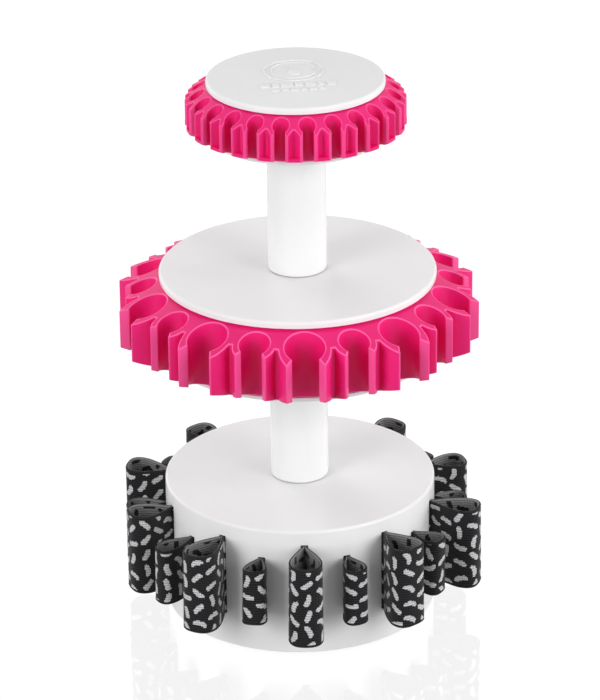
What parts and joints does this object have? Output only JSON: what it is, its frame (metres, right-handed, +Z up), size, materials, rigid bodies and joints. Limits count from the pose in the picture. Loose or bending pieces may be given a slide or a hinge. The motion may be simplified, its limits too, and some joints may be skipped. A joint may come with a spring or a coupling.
{
  "type": "makeup brush drying tower",
  "caption": "Tiered makeup brush drying tower: a drum with elastic loops, and turning discs rimmed with spring-open silicone slots on push-fit posts.",
  "frame": {"origin": "on the table, under the middle of the base drum", "axes": "+Z up along the posts; -Y is the front, through the middle of a wide elastic loop"},
  "size_m": [0.1849, 0.1918, 0.2902],
  "materials": {
    "white_plastic": "smooth gloss moulding",
    "pink_silicone": "satin silicone",
    "woven_elastic": "ribbed black elastic with a grey woven pattern",
    "foot_rubber": "matte",
    "screw_steel": "zinc plated"
  },
  "bodies": {
    "base": {"base_drum": "white_plastic", "base_plate": "white_plastic", "foot_ring": "foot_rubber", "loop_retainer": "white_plastic", "base_screw_01": "screw_steel", "base_screw_02": "screw_steel", "base_screw_03": "screw_steel", "base_screw_04": "screw_steel", "wide_loop_01": "woven_elastic", "wide_loop_02": "woven_elastic", "wide_loop_03": "woven_elastic", "wide_loop_04": "woven_elastic", "wide_loop_05": "woven_elastic", "wide_loop_06": "woven_elastic", "wide_loop_07": "woven_elastic", "wide_loop_08": "woven_elastic", "wide_loop_09": "woven_elastic", "wide_loop_10": "woven_elastic", "narrow_loop_01": "woven_elastic", "narrow_loop_02": "woven_elastic", "narrow_loop_03": "woven_elastic", "narrow_loop_04": "woven_elastic", "narrow_loop_05": "woven_elastic", "narrow_loop_06": "woven_elastic", "narrow_loop_07": "woven_elastic", "narrow_loop_08": "woven_elastic", "narrow_loop_09": "woven_elastic", "narrow_loop_10": "woven_elastic"},
    "lower_post": {"lower_post": "white_plastic"},
    "middle_tier": {"middle_upper_plate": "white_plastic", "middle_lower_plate": "white_plastic", "middle_silicone_ring": "pink_silicone", "middle_screw_01": "screw_steel", "middle_screw_02": "screw_steel", "middle_screw_03": "screw_steel"},
    "upper_post": {"upper_post": "white_plastic"},
    "top_tier": {"top_upper_plate": "white_plastic", "top_lower_plate": "white_plastic", "top_silicone_ring": "pink_silicone", "top_screw_01": "screw_steel", "top_screw_02": "screw_steel", "top_screw_03": "screw_steel"}
  },
  "joints": [
    {"name": "lower_post_lift", "type": "slide", "parent": "base", "child": "lower_post", "axis": [0, 0, 1], "range_m": [0, 0.04]},
    {"name": "middle_tier_turn", "type": "hinge", "parent": "lower_post", "child": "middle_tier", "pos_m": [0, 0, 0.15], "axis": [0, 0, 1], "continuous": true},
    {"name": "upper_post_lift", "type": "slide", "parent": "middle_tier", "child": "upper_post", "axis": [0, 0, 1], "range_m": [0, 0.04]},
    {"name": "top_tier_turn", "type": "hinge", "parent": "upper_post", "child": "top_tier", "pos_m": [0, 0, 0.265], "axis": [0, 0, 1], "continuous": true}
  ]
}
